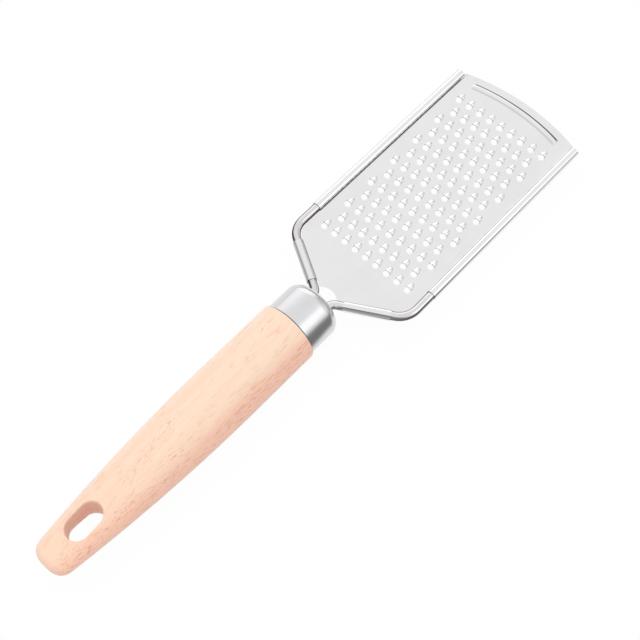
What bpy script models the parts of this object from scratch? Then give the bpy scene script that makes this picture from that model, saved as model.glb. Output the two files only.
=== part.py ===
"""Hand-held flat grater: a turned beech handle, a drawn steel ferrule, a bent wire
frame and a sheet-steel grating plate whose edges are rolled round the frame.

Metres, +Z up.  X runs from the handle's tail to the plate's far edge, Y across the
plate, and the flat sheet, the wire frame and the handle share one level middle plane.
"""
import math

import bmesh
import bpy
from mathutils import Matrix, Vector

# Overall width and the handle
PLATE_WIDTH = 0.0600
HANDLE_LENGTH = 0.1157
HANDLE_RADIUS = 0.0120
TAIL_HALF_WIDTH = 0.0070
TAIL_HALF_THICKNESS = 0.0032
TAPER_LENGTH = 0.0900
WIDTH_TAPER_POWER = 2.0
THICKNESS_TAPER_POWER = 1.5
TAIL_ROUNDING = 0.0055
TAIL_EDGE_ROUNDING = 0.0035
TAIL_SQUARENESS = 2.7
ROUND = 2.0

# Hanging slot through the tail
SLOT_LENGTH = 0.0146
SLOT_WIDTH = 0.0086
SLOT_FROM_TAIL = 0.0184

# Ferrule: a drawn cup with a rounded front edge
FERRULE_LENGTH = 0.0150
FERRULE_RADIUS = 0.0112
FERRULE_WALL = 0.0006
FERRULE_ROUNDING = 0.0045
TENON_CHAMFER = 0.0008

# Wire frame: one rod, its two legs side by side in the handle
WIRE_DIAMETER = 0.0033
LEG_SPACING = 0.0074
TANG_DEPTH = 0.0300
NECK_STRAIGHT = 0.0008
NECK_BEND = 0.0035
SPLAY_ANGLE = math.radians(60.0)
SHOULDER_BEND = 0.0085

# Sheet-steel plate
SHEET = 0.00025
ROLL_CLEARANCE = 0.00015
ROLL_WRAP = math.radians(337.5)
SIDE_ROLL_START = 0.0128
SIDE_ROLL_LENGTH = 0.0843
SPLAY_ROLL_START = 0.0060
SPLAY_ROLL_STOP = 0.0030
FAR_CORNER_REACH = 0.0015
FAR_EDGE_RADIUS = 0.0910
NECK_CUT_HALF_WIDTH = 0.0042
NECK_CUT_DEPTH = 0.0017

# Embossed stiffening bead along the far edge
BEAD_SETBACK = 0.0048
BEAD_WIDTH = 0.0024
BEAD_HEIGHT = 0.0007
BEAD_SIDE_MARGIN = 0.0052
BEAD_END_SQUARENESS = 12.0

# Grating teeth, in rows of nine and eight
TOOTH_PITCH = 0.00507
ROW_PITCH = 0.00649
FIRST_ROW_SETBACK = 0.0153
LAST_ROW_MARGIN = 0.0080
TOOTH_SIDE_MARGIN = 0.0050
HOLE_RADIUS = 0.00130
MOUTH_FROM_HOLE_CENTRE = 0.0005
MOUTH_HEIGHT = 0.0011
TONGUE_LENGTH = 0.0029
TONGUE_MIDDLE_SHARE = 0.62

# Clearance between neighbours that touch, how far a cutter runs past what it cuts,
# and the distance within which two points are one
SEAT_GAP = 0.0003
CUTTER_OVERRUN = 0.0005
SAME_POINT = 0.000003

# Facets
HANDLE_SIDES = 36
TAIL_STEPS = 6
GRIP_STEPS = 16
SLOT_STEPS = 8
FERRULE_STEPS = 48
ROLL_STEPS = 15
TONGUE_SIDES = 4
HOLE_STEPS = 6
BEND_STEPS = 6
NOTCH_STEPS = 3
FAR_EDGE_STEPS = 5
BEAD_STEPS = 20
BEAD_SIDES = 4

# Places along X, from the shoulder between the wood and the ferrule
WIRE_RADIUS = WIRE_DIAMETER / 2
ROLL_RADIUS = WIRE_RADIUS + ROLL_CLEARANCE + SHEET / 2
ROLL_Y = PLATE_WIDTH / 2 - ROLL_RADIUS - SHEET / 2
LEG_Y = LEG_SPACING / 2
TENON_END = SEAT_GAP + FERRULE_LENGTH - FERRULE_ROUNDING
FERRULE_FRONT = SEAT_GAP + FERRULE_LENGTH
NECK_X = FERRULE_FRONT + NECK_STRAIGHT + NECK_BEND * math.tan(SPLAY_ANGLE / 2)
SHOULDER_X = NECK_X + (ROLL_Y - LEG_Y) / math.tan(SPLAY_ANGLE)
CREASE_Y = ROLL_Y - ROLL_RADIUS
ROLL_END_X = SHOULDER_X + SIDE_ROLL_START + SIDE_ROLL_LENGTH
FAR_CORNER_X = ROLL_END_X + FAR_CORNER_REACH
FAR_ARC_X = FAR_CORNER_X - math.sqrt(FAR_EDGE_RADIUS ** 2 - CREASE_Y ** 2)
FAR_X = FAR_ARC_X + FAR_EDGE_RADIUS
ORIGIN_X = (FAR_X - HANDLE_LENGTH) / 2
AXIS_Z = HANDLE_RADIUS

# How many teeth the flat sheet holds, and the width of a tooth's mouth
ROWS_SPAN = FAR_X - FIRST_ROW_SETBACK - SHOULDER_X - LAST_ROW_MARGIN
TOOTH_ROWS = 1 + int(ROWS_SPAN / ROW_PITCH)
TEETH_IN_LONG_ROW = 1 + int(2 * (CREASE_Y - TOOTH_SIDE_MARGIN) / TOOTH_PITCH)
MOUTH_HALF_WIDTH = math.sqrt(HOLE_RADIUS ** 2 - MOUTH_FROM_HOLE_CENTRE ** 2)


def clear_scene():
    for item in list(bpy.data.objects):
        bpy.data.objects.remove(item, do_unlink=True)


def make_material(name, colour, roughness, metallic):
    material = bpy.data.materials.new(name)
    material.use_nodes = True
    shader = material.node_tree.nodes["Principled BSDF"]
    shader.inputs["Base Color"].default_value = (*colour, 1.0)
    shader.inputs["Roughness"].default_value = roughness
    shader.inputs["Metallic"].default_value = metallic
    return material


def beech_wood():
    return make_material("beech", (0.91, 0.67, 0.48), 0.55, 0.0)


def brushed_steel():
    return make_material("ferrule_steel", (0.62, 0.63, 0.64), 0.32, 1.0)


def bright_wire():
    return make_material("wire_steel", (0.70, 0.68, 0.68), 0.12, 1.0)


def polished_sheet():
    return make_material("sheet_steel", (0.78, 0.79, 0.80), 0.20, 1.0)


def place(item, material):
    """Set a finished piece in the shared frame and give it its material."""
    item.location = (-ORIGIN_X, 0.0, AXIS_Z)
    item.data.materials.append(material)
    return item


def add_mesh(name, mesh_builder):
    """Make an object of the bmesh that mesh_builder fills."""
    mesh = bpy.data.meshes.new(name)
    shape = bmesh.new()
    mesh_builder(shape)
    shape.to_mesh(mesh)
    shape.free()
    item = bpy.data.objects.new(name, mesh)
    bpy.context.collection.objects.link(item)
    return item


def hide_cutter(item):
    item.location = (-ORIGIN_X, 0.0, AXIS_Z)
    item.hide_render = True
    item.display_type = "WIRE"
    return item


def cut(item, cutter):
    """Take the cutter's shape out of the item."""
    boolean = item.modifiers.new(cutter.name, "BOOLEAN")
    boolean.operation = "DIFFERENCE"
    boolean.solver = "EXACT"
    boolean.object = cutter


def shade_round(item, degrees=35.0):
    item.data.shade_smooth()
    item.data.set_sharp_from_angle(angle=math.radians(degrees))


def loft(shape, rings):
    """Skin closed rings of points with quads and close both ends."""
    rows = [[shape.verts.new(point) for point in ring] for ring in rings]
    count = len(rows[0])
    for near, far in zip(rows, rows[1:]):
        for i in range(count):
            j = (i + 1) % count
            shape.faces.new((near[i], near[j], far[j], far[i]))
    shape.faces.new(list(reversed(rows[0])))
    shape.faces.new(rows[-1])
    bmesh.ops.recalc_face_normals(shape, faces=shape.faces)


def round_off(distance, length):
    """Share of the full size at a distance from a rounded end."""
    inward = max(1.0 - distance / length, 0.0)
    return (1.0 - inward ** TAIL_SQUARENESS) ** (1.0 / TAIL_SQUARENESS)


def handle_half_sizes(distance):
    """Half width, half thickness and squareness at a distance from the tail's tip."""
    taper = max(1.0 - distance / TAPER_LENGTH, 0.0)
    width = HANDLE_RADIUS - (HANDLE_RADIUS - TAIL_HALF_WIDTH) * taper ** WIDTH_TAPER_POWER
    thickness = HANDLE_RADIUS - (HANDLE_RADIUS - TAIL_HALF_THICKNESS) * taper ** THICKNESS_TAPER_POWER
    squareness = ROUND + (TAIL_SQUARENESS - ROUND) * taper
    width *= round_off(distance, TAIL_ROUNDING)
    thickness *= round_off(distance, TAIL_EDGE_ROUNDING)
    return width, thickness, squareness


def oval_ring(x, half_width, half_thickness, squareness):
    ring = []
    for i in range(HANDLE_SIDES):
        angle = 2 * math.pi * i / HANDLE_SIDES
        across, up = math.cos(angle), math.sin(angle)
        y = half_width * math.copysign(abs(across) ** (2 / squareness), across)
        z = half_thickness * math.copysign(abs(up) ** (2 / squareness), up)
        ring.append((x, y, z))
    return ring


def handle_stations():
    """Distances from the tail's tip, close together where the end rounds off."""
    stations = []
    for i in range(1, TAIL_STEPS + 1):
        stations.append(TAIL_ROUNDING * (1.0 - math.cos(math.pi / 2 * i / TAIL_STEPS)))
    for i in range(1, GRIP_STEPS + 1):
        stations.append(TAIL_ROUNDING + (HANDLE_LENGTH - TAIL_ROUNDING) * i / GRIP_STEPS)
    return stations


def fill_handle(shape):
    rings = []
    for distance in handle_stations():
        width, thickness, squareness = handle_half_sizes(distance)
        rings.append(oval_ring(distance - HANDLE_LENGTH, width, thickness, squareness))
    tenon = FERRULE_RADIUS - FERRULE_WALL - SEAT_GAP
    tip = tenon - TENON_CHAMFER
    rings.append(oval_ring(0.0, tenon, tenon, ROUND))
    rings.append(oval_ring(TENON_END - TENON_CHAMFER, tenon, tenon, ROUND))
    rings.append(oval_ring(TENON_END, tip, tip, ROUND))
    loft(shape, rings)


def stadium(half_length, radius, steps):
    """Points of a slot outline, long along the first axis, centred on zero."""
    points = []
    for side, start in ((1.0, -math.pi / 2), (-1.0, math.pi / 2)):
        for i in range(steps + 1):
            angle = start + math.pi * i / steps
            along = side * (half_length - radius) + radius * math.cos(angle)
            points.append((along, radius * math.sin(angle)))
    return points


def add_slot_cutter():
    """Upright slot through the tail, for hanging on a hook or peg."""
    centre = SLOT_FROM_TAIL - HANDLE_LENGTH
    outline = stadium(SLOT_LENGTH / 2, SLOT_WIDTH / 2, SLOT_STEPS)
    reach = HANDLE_RADIUS + CUTTER_OVERRUN

    def fill(shape):
        loft(shape, [[(centre + x, y, z) for x, y in outline] for z in (-reach, reach)])
    return hide_cutter(add_mesh("slot_cutter", fill))


def add_tang_cutter(name, start, end):
    """Flat-sided hole that the two wire legs pass through side by side."""
    radius = WIRE_RADIUS + SEAT_GAP
    outline = stadium(LEG_Y + radius, radius, BEND_STEPS)

    def fill(shape):
        loft(shape, [[(x, y, z) for y, z in outline] for x in (start, end)])
    return hide_cutter(add_mesh(name, fill))


def build_handle():
    handle = add_mesh("handle", fill_handle)
    cut(handle, add_slot_cutter())
    cut(handle, add_tang_cutter("mortise_cutter", -TANG_DEPTH - SEAT_GAP, FERRULE_FRONT))
    shade_round(handle)
    return place(handle, beech_wood())


def cup_profile(radius, rounding, front):
    """Half section of a cup, from its open rim round the front edge to its flat face."""
    section = [(SEAT_GAP, radius)]
    for i in range(BEND_STEPS + 1):
        angle = math.pi / 2 * (1.0 - i / BEND_STEPS)
        x = front - rounding + rounding * math.cos(angle)
        section.append((x, radius - rounding + rounding * math.sin(angle)))
    return section


def fill_ferrule(shape):
    """Spin the cup's outer and inner half sections round the handle's axis."""
    outer = cup_profile(FERRULE_RADIUS, FERRULE_ROUNDING, FERRULE_FRONT)
    inner = cup_profile(FERRULE_RADIUS - FERRULE_WALL, FERRULE_ROUNDING - FERRULE_WALL,
                        FERRULE_FRONT - FERRULE_WALL)
    section = [(inner[-1][0], 0.0)] + list(reversed(inner)) + outer + [(outer[-1][0], 0.0)]
    verts = [shape.verts.new((x, 0.0, r)) for x, r in section]
    edges = [shape.edges.new(pair) for pair in zip(verts, verts[1:])]
    bmesh.ops.spin(shape, geom=verts + edges, cent=(0, 0, 0), axis=(1, 0, 0), angle=2 * math.pi,
                   steps=FERRULE_STEPS, use_merge=True)
    bmesh.ops.remove_doubles(shape, verts=shape.verts, dist=SAME_POINT)
    bmesh.ops.recalc_face_normals(shape, faces=shape.faces)


def build_ferrule():
    ferrule = add_mesh("ferrule", fill_ferrule)
    start = FERRULE_FRONT - FERRULE_ROUNDING
    cut(ferrule, add_tang_cutter("ferrule_cutter", start, FERRULE_FRONT + CUTTER_OVERRUN))
    shade_round(ferrule)
    return place(ferrule, brushed_steel())


def level_arc(centre_x, radius, angles):
    """Level points at these angles round a centre on the X axis."""
    points = []
    for angle in angles:
        points.append(Vector((centre_x + radius * math.cos(angle), radius * math.sin(angle), 0.0)))
    return points


def bend(corner, before, after, radius):
    """Points of a bend that rounds the corner between two directions."""
    turn = before.angle(after)
    tangent = radius * math.tan(turn / 2)
    side = (after - before).normalized()
    centre = corner + side * (radius / math.cos(turn / 2))
    start = corner - before * tangent - centre
    normal = before.cross(after).normalized()
    turns = [Matrix.Rotation(turn * i / BEND_STEPS, 3, normal) for i in range(BEND_STEPS + 1)]
    return [centre + rotation @ start for rotation in turns]


def wire_half():
    """Centre line of one side of the frame, from the tang to the plate's far end."""
    forward = Vector((1.0, 0.0, 0.0))
    splay = Vector((math.cos(SPLAY_ANGLE), math.sin(SPLAY_ANGLE), 0.0))
    points = bend(Vector((NECK_X, LEG_Y, 0.0)), forward, splay, NECK_BEND)
    points += bend(Vector((SHOULDER_X, ROLL_Y, 0.0)), splay, forward, SHOULDER_BEND)
    points.append(Vector((ROLL_END_X - WIRE_RADIUS, ROLL_Y, 0.0)))
    return points


def hairpin_end():
    """Half turn that joins the two legs at the bottom of the handle's mortise."""
    steps = 2 * BEND_STEPS
    angles = [-math.pi / 2 - math.pi * i / steps for i in range(steps + 1)]
    return level_arc(LEG_Y + WIRE_RADIUS - TANG_DEPTH, LEG_Y, angles)


def build_wire_frame():
    near = wire_half()
    mirrored = [Vector((p.x, -p.y, p.z)) for p in reversed(near)]
    points = mirrored + hairpin_end() + near
    curve = bpy.data.curves.new("wire_frame", "CURVE")
    curve.dimensions = "3D"
    curve.bevel_depth = WIRE_RADIUS
    curve.bevel_resolution = 2
    curve.use_fill_caps = True
    spline = curve.splines.new("POLY")
    spline.points.add(len(points) - 1)
    for slot, point in zip(spline.points, points):
        slot.co = (*point, 1.0)
        slot.radius = 1.0
    spline.use_smooth = True
    frame = bpy.data.objects.new("wire_frame", curve)
    bpy.context.collection.objects.link(frame)
    return place(frame, bright_wire())


def add_loop(shape, points):
    """Join points, or vertices already made, into a closed loop of edges."""
    verts = [p if isinstance(p, bmesh.types.BMVert) else shape.verts.new(p) for p in points]
    edges = []
    for a, b in zip(verts, verts[1:] + verts[:1]):
        edges.append(shape.edges.get((a, b)) or shape.edges.new((a, b)))
    return verts, edges


def half_outline():
    """Flat outline of one side, from the middle of the neck cut to the far edge.

    It runs along the crease where the sheet turns down to go round the wire.
    Returns the points and the two runs of it that are rolled.
    """
    splay = Vector((math.cos(SPLAY_ANGLE), math.sin(SPLAY_ANGLE), 0.0))
    forward = Vector((1.0, 0.0, 0.0))
    shoulder = Vector((SHOULDER_X, ROLL_Y, 0.0))
    inward = Vector((splay.y, -splay.x, 0.0)) * ROLL_RADIUS
    splay_start = shoulder - splay * SPLAY_ROLL_START + inward
    neck = splay_start - splay * ((splay_start.y - NECK_CUT_HALF_WIDTH) / splay.y)
    splay_end = neck + splay * SPLAY_ROLL_STOP
    cut_radius = (NECK_CUT_HALF_WIDTH ** 2 + NECK_CUT_DEPTH ** 2) / (2 * NECK_CUT_DEPTH)
    cut_centre = neck.x + NECK_CUT_DEPTH - cut_radius
    opening = math.asin(NECK_CUT_HALF_WIDTH / cut_radius)
    notch = level_arc(cut_centre, cut_radius, [opening * i / NOTCH_STEPS for i in range(NOTCH_STEPS)])
    corner = Vector((SHOULDER_X + ROLL_RADIUS * math.tan(SPLAY_ANGLE / 2), CREASE_Y, 0.0))
    side_start = Vector((SHOULDER_X + SIDE_ROLL_START, CREASE_Y, 0.0))
    side_end = Vector((ROLL_END_X, CREASE_Y, 0.0))
    points = notch + [neck, splay_end, splay_start]
    points += bend(corner, splay, forward, SHOULDER_BEND - ROLL_RADIUS)
    points += [side_start, side_end, Vector((FAR_CORNER_X, CREASE_Y, 0.0))]
    sweep = math.asin(CREASE_Y / FAR_EDGE_RADIUS)
    falling = [sweep * (1.0 - i / FAR_EDGE_STEPS) for i in range(1, FAR_EDGE_STEPS)]
    points += level_arc(FAR_ARC_X, FAR_EDGE_RADIUS, falling)
    rolls = [(splay_end, splay_start), (side_start, side_end)]
    return points, rolls


def vertex_at(verts, point):
    """The vertex that lies on a point."""
    return next(v for v in verts if (v.co - point).length < SAME_POINT)


def add_flat_outline(shape):
    """Closed outline of the flat sheet, and the edges that the rolls grow from."""
    half, rolls = half_outline()
    far_middle = Vector((FAR_X, 0.0, 0.0))
    mirrored = [Vector((p.x, -p.y, 0.0)) for p in reversed(half[1:])]
    points = half + [far_middle] + mirrored
    verts, edges = add_loop(shape, points)
    roll_edges = []
    for start, end in rolls:
        for side in (1.0, -1.0):
            ends = [vertex_at(verts, Vector((p.x, side * p.y, 0.0))) for p in (start, end)]
            roll_edges.append(shape.edges.get(ends))
    return edges, roll_edges


def roll_edge(shape, edge):
    """Curl the sheet from its crease down, out and over the wire, back to the crease."""
    low, high = sorted((v.co.copy() for v in edge.verts), key=lambda p: p.x)
    along = (high - low).normalized()
    if low.y < 0:
        along.negate()
    outward = Vector((-along.y, along.x, 0.0))
    bmesh.ops.spin(shape, geom=[edge], cent=low + outward * ROLL_RADIUS, axis=along, angle=ROLL_WRAP,
                   steps=ROLL_STEPS)


def tongue_row(shape, x, y, share):
    """Half ring of a tongue, from one side of the sheet over to the other."""
    row = []
    for i in range(TONGUE_SIDES + 1):
        angle = math.pi * i / TONGUE_SIDES
        across = MOUTH_HALF_WIDTH * share * math.cos(angle)
        row.append(shape.verts.new((x, y + across, MOUTH_HEIGHT * share * math.sin(angle))))
    return row


def hole_arc(shape, x, y):
    """Round side of a hole, from one end of the mouth back to the other."""
    centre = x - MOUTH_FROM_HOLE_CENTRE
    start = math.atan2(MOUTH_HALF_WIDTH, MOUTH_FROM_HOLE_CENTRE)
    arc = []
    for i in range(1, HOLE_STEPS):
        angle = start + (2 * math.pi - 2 * start) * i / HOLE_STEPS
        across = HOLE_RADIUS * math.sin(angle)
        arc.append(shape.verts.new((centre + HOLE_RADIUS * math.cos(angle), y + across, 0.0)))
    return arc


def add_tooth(shape, x, y):
    """One formed tooth: a round hole with a half-cone tongue raised over its far side.

    The tongue's open mouth, its cutting edge, faces the handle.
    """
    mouth = tongue_row(shape, x, y, 1.0)
    middle = tongue_row(shape, x + TONGUE_LENGTH / 2, y, TONGUE_MIDDLE_SHARE)
    tip = shape.verts.new((x + TONGUE_LENGTH, y, 0.0))
    for i in range(TONGUE_SIDES):
        shape.faces.new((mouth[i], middle[i], middle[i + 1], mouth[i + 1]))
        shape.faces.new((middle[i], tip, middle[i + 1]))
    outline = [mouth[0]] + hole_arc(shape, x, y) + [mouth[-1], middle[-1], tip, middle[0]]
    return add_loop(shape, outline)[1]


def tooth_places():
    """Mouth of every tooth: rows of nine and eight, the short rows half a pitch over."""
    for row in range(TOOTH_ROWS):
        count = TEETH_IN_LONG_ROW - row % 2
        x = FAR_X - FIRST_ROW_SETBACK - row * ROW_PITCH
        for i in range(count):
            yield x, (i - (count - 1) / 2) * TOOTH_PITCH


def bead_row(shape, angle, fullness):
    """Half ring of the bead across the sheet, at an angle round the far edge's centre."""
    row = []
    for k in range(BEAD_SIDES + 1):
        turn = math.pi * k / BEAD_SIDES
        r = FAR_EDGE_RADIUS - BEAD_SETBACK + BEAD_WIDTH / 2 * fullness * math.cos(turn)
        rise = BEAD_HEIGHT * fullness * math.sin(turn)
        row.append(shape.verts.new((FAR_ARC_X + r * math.cos(angle), r * math.sin(angle), rise)))
    return row


def add_bead(shape):
    """Crowned bead pressed up from the sheet, concentric with the far edge."""
    radius = FAR_EDGE_RADIUS - BEAD_SETBACK
    sweep = math.asin((CREASE_Y - BEAD_SIDE_MARGIN) / radius)
    ends = [shape.verts.new(point) for point in level_arc(FAR_ARC_X, radius, (-sweep, sweep))]
    rows = []
    for i in range(1, BEAD_STEPS):
        share = 2.0 * i / BEAD_STEPS - 1.0
        fullness = math.sqrt(1.0 - abs(share) ** BEAD_END_SQUARENESS)
        rows.append(bead_row(shape, sweep * share, fullness))
    for near, far in zip(rows, rows[1:]):
        for k in range(BEAD_SIDES):
            shape.faces.new((near[k], near[k + 1], far[k + 1], far[k]))
    for row, end in ((rows[0], ends[0]), (rows[-1], ends[1])):
        for k in range(BEAD_SIDES):
            shape.faces.new((row[k], row[k + 1], end))
    outer = [row[0] for row in rows]
    inner = [row[-1] for row in reversed(rows)]
    return add_loop(shape, outer + [ends[1]] + inner + [ends[0]])[1]


def fill_plate(shape):
    """The sheet's middle surface: flat, teeth, bead and rolled edges."""
    boundary, roll_edges = add_flat_outline(shape)
    for x, y in tooth_places():
        boundary += add_tooth(shape, x, y)
    boundary += add_bead(shape)
    bmesh.ops.triangle_fill(shape, use_beauty=True, use_dissolve=False, edges=boundary, normal=(0, 0, 1))
    for edge in roll_edges:
        roll_edge(shape, edge)
    bmesh.ops.recalc_face_normals(shape, faces=shape.faces)


def build_plate():
    plate = add_mesh("grating_plate", fill_plate)
    wall = plate.modifiers.new("sheet", "SOLIDIFY")
    wall.thickness = SHEET
    wall.offset = 0.0
    shade_round(plate, 30.0)
    return place(plate, polished_sheet())


clear_scene()
build_handle()
build_ferrule()
build_wire_frame()
build_plate()
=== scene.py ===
"""Looks of the hand-held flat grater: fine meshes, finishes, light and camera.

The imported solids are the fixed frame, and each piece made here stands for one of them.
Metres: +X runs from the handle's tail to the plate's far edge, +Y across the plate and
+Z out of the side that the teeth stand on.
"""
import logging
import math
from dataclasses import dataclass
from enum import Enum
from typing import Callable, List, Optional, Tuple, Union

import bmesh
import bpy
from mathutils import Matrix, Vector


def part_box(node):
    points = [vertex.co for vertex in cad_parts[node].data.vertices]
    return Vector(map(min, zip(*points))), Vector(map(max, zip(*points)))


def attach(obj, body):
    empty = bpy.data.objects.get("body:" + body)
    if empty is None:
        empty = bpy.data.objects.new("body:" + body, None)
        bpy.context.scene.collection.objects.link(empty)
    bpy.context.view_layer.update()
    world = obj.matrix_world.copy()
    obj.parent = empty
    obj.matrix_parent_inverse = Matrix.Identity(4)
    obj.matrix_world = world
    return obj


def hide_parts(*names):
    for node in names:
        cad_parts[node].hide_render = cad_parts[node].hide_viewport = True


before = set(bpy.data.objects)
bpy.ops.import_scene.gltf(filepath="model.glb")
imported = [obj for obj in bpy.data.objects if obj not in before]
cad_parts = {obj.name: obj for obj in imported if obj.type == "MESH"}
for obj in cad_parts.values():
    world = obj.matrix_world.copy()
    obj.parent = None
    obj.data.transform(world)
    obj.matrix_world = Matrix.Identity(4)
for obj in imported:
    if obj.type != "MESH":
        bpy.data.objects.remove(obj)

Colour = Tuple[float, float, float]
Triple = Tuple[float, float, float]
Pair = Tuple[float, float]
Run = Tuple[Vector, Vector]
Socket = bpy.types.NodeSocket

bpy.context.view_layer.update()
LOG = logging.getLogger("grater")

ALONG = Vector((1.0, 0.0, 0.0))
ACROSS = Vector((0.0, 1.0, 0.0))
UP = Vector((0.0, 0.0, 1.0))
SEAT_GAP = 0.0003
SAME_POINT = 0.000003
SEED_SIZE = 0.0003
SLOT_SIDES = 64
WHITE = (1.0, 1.0, 1.0)
BODY = "root"


class Slot(Enum):
    """Material slots of the record."""

    BEECH = "beech"
    FERRULE = "ferrule_steel"
    WIRE = "wire_steel"
    SHEET = "sheet_steel"


class Rays(Enum):
    """Kinds of light path that the floor and the surroundings answer in their own way."""

    CAMERA = "Is Camera Ray"
    GLOSSY = "Is Glossy Ray"
    TRANSMISSION = "Is Transmission Ray"


class Field:
    """A number that varies over a surface and is used in sums like a plain number."""

    def __init__(self, graph: "Graph", socket: Socket) -> None:
        """Keep the graph and the socket that carries the number."""
        self.graph = graph
        self.socket = socket

    def _maths(self, operation: str, first: "Number", second: "Number") -> "Field":
        """Add one Math node.

        Args:
            operation: The node's operation.
            first: Its first value.
            second: Its second value.

        Returns:
            The node's result.
        """
        node = self.graph.node("ShaderNodeMath", {"operation": operation}, {0: first, 1: second})
        return Field(self.graph, node.outputs[0])

    def __add__(self, other: "Number") -> "Field":
        """Sum."""
        return self._maths("ADD", self, other)

    def __radd__(self, other: "Number") -> "Field":
        """Sum with a plain number on the left."""
        return self._maths("ADD", other, self)

    def __sub__(self, other: "Number") -> "Field":
        """Difference."""
        return self._maths("SUBTRACT", self, other)

    def __rsub__(self, other: "Number") -> "Field":
        """Difference from a plain number on the left."""
        return self._maths("SUBTRACT", other, self)

    def __mul__(self, other: "Number") -> "Field":
        """Product."""
        return self._maths("MULTIPLY", self, other)

    def __rmul__(self, other: "Number") -> "Field":
        """Product with a plain number on the left."""
        return self._maths("MULTIPLY", other, self)

    def __neg__(self) -> "Field":
        """Number with its sign turned."""
        return 0.0 - self

    def __abs__(self) -> "Field":
        """Size without its sign."""
        return self._maths("ABSOLUTE", self, 0.0)

    def repeat(self) -> "Field":
        """Part after the decimal point, so that a pattern repeats at every whole number."""
        return self._maths("FRACT", self, 0.0)

    def band(self, half: float, fade: float) -> "Field":
        """Narrow stripe where this number is near 0: 1 within a half width, gone a fade further out."""
        return 1.0 - abs(self).ramp(half, half + fade)

    def between(self, low: float, high: float) -> "Field":
        """One number where this mask is 0, another where it is 1, and in between elsewhere."""
        return self * (high - low) + low

    def ramp(self, low: float, high: float) -> "Field":
        """Smooth step of this number.

        Args:
            low: Value at which the step leaves 0.
            high: Value at which it reaches 1.

        Returns:
            A number from 0 to 1.
        """
        node = self.graph.node("ShaderNodeMapRange", {"interpolation_type": "SMOOTHSTEP"},
                               {"Value": self, "From Min": low, "From Max": high})
        return Field(self.graph, node.outputs["Result"])


Number = Union[Field, float]
Paint = Union[Socket, Colour]


@dataclass(frozen=True)
class Pattern:
    """Smooth noise about 0.5 that changes per_metre times in a metre along X, Y and Z."""

    per_metre: Triple
    detail: float
    shift: Triple = (0.0, 0.0, 0.0)
    coarseness: float = 0.55


class Graph:
    """The shader nodes of one material or of the surroundings."""

    def __init__(self, tree: bpy.types.NodeTree) -> None:
        """Start from an empty tree."""
        tree.nodes.clear()
        self.tree = tree

    def node(self, kind: str, settings: Optional[dict] = None,
             sockets: Optional[dict] = None) -> bpy.types.Node:
        """Add one node.

        Args:
            kind: The node's type.
            settings: Its own settings, which are set first.
            sockets: Values or links of its inputs, by name or place.

        Returns:
            The new node.
        """
        made = self.tree.nodes.new(kind)
        for name, value in (settings or {}).items():
            setattr(made, name, value)
        for key, value in (sockets or {}).items():
            if isinstance(value, Field):
                value = value.socket
            if isinstance(value, Socket):
                self.tree.links.new(value, made.inputs[key])
            else:
                made.inputs[key].default_value = value
        return made

    def place(self) -> Socket:
        """The point of the piece that is shaded, in the object's own metres."""
        return self.node("ShaderNodeTexCoord").outputs["Object"]

    def split(self, place: Socket) -> Tuple[Field, Field, Field]:
        """Take a point or direction apart into its X, Y and Z."""
        parts = self.node("ShaderNodeSeparateXYZ", None, {"Vector": place})
        return tuple(Field(self, socket) for socket in parts.outputs)

    def distance(self, place: Socket, point: Vector) -> Field:
        """Distance of the shaded point from a fixed one."""
        made = self.node("ShaderNodeVectorMath", {"operation": "DISTANCE"}, {0: place, 1: point})
        return Field(self, made.outputs["Value"])

    def noise(self, place: Socket, pattern: Pattern) -> Field:
        """Smooth noise that may be drawn out along an axis.

        Args:
            place: The point that is shaded.
            pattern: How fine the noise is, and where in it the piece lies.

        Returns:
            A number about 0.5.
        """
        scaled = self.node("ShaderNodeMapping", None,
                           {"Vector": place, "Location": pattern.shift, "Scale": pattern.per_metre})
        made = self.node("ShaderNodeTexNoise", None, {
            "Vector": scaled.outputs["Vector"],
            "Scale": 1.0,
            "Detail": pattern.detail,
            "Roughness": pattern.coarseness,
        })
        return Field(self, made.outputs[0])

    def mix(self, share: Number, first: Paint, second: Paint) -> Socket:
        """Blend two colours.

        Args:
            share: How much of the second colour there is.
            first: Colour where the share is 0.
            second: Colour where the share is 1.

        Returns:
            The blended colour's socket.
        """
        first, second = (paint if isinstance(paint, Socket) else (*paint, 1.0) for paint in (first, second))
        # The node's colour sockets share their names with others, so they are taken by place.
        made = self.node("ShaderNodeMix", {"data_type": "RGBA"}, {0: share, 6: first, 7: second})
        return made.outputs[2]

    def bump(self, height: Field, depth: float, strength: float = 1.0) -> Socket:
        """Surface relief.

        Args:
            height: Height of the relief, from 0 to 1.
            depth: Real height, in metres, that 1 stands for.
            strength: Share of the relief that is shown.

        Returns:
            The bent normal.
        """
        made = self.node("ShaderNodeBump", None,
                         {"Height": height, "Distance": depth, "Strength": strength})
        return made.outputs["Normal"]

    def output(self, kind: str, shader: bpy.types.Node) -> None:
        """Send a shader to the tree's output node of this kind."""
        self.node(kind, None, {"Surface": shader.outputs[0]})


def new_material(name: str) -> Tuple[bpy.types.Material, Graph]:
    """Make an empty material.

    Args:
        name: The material's name.

    Returns:
        The material and its graph.
    """
    material = bpy.data.materials.new(name)
    material.use_nodes = True
    return material, Graph(material.node_tree)


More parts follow.
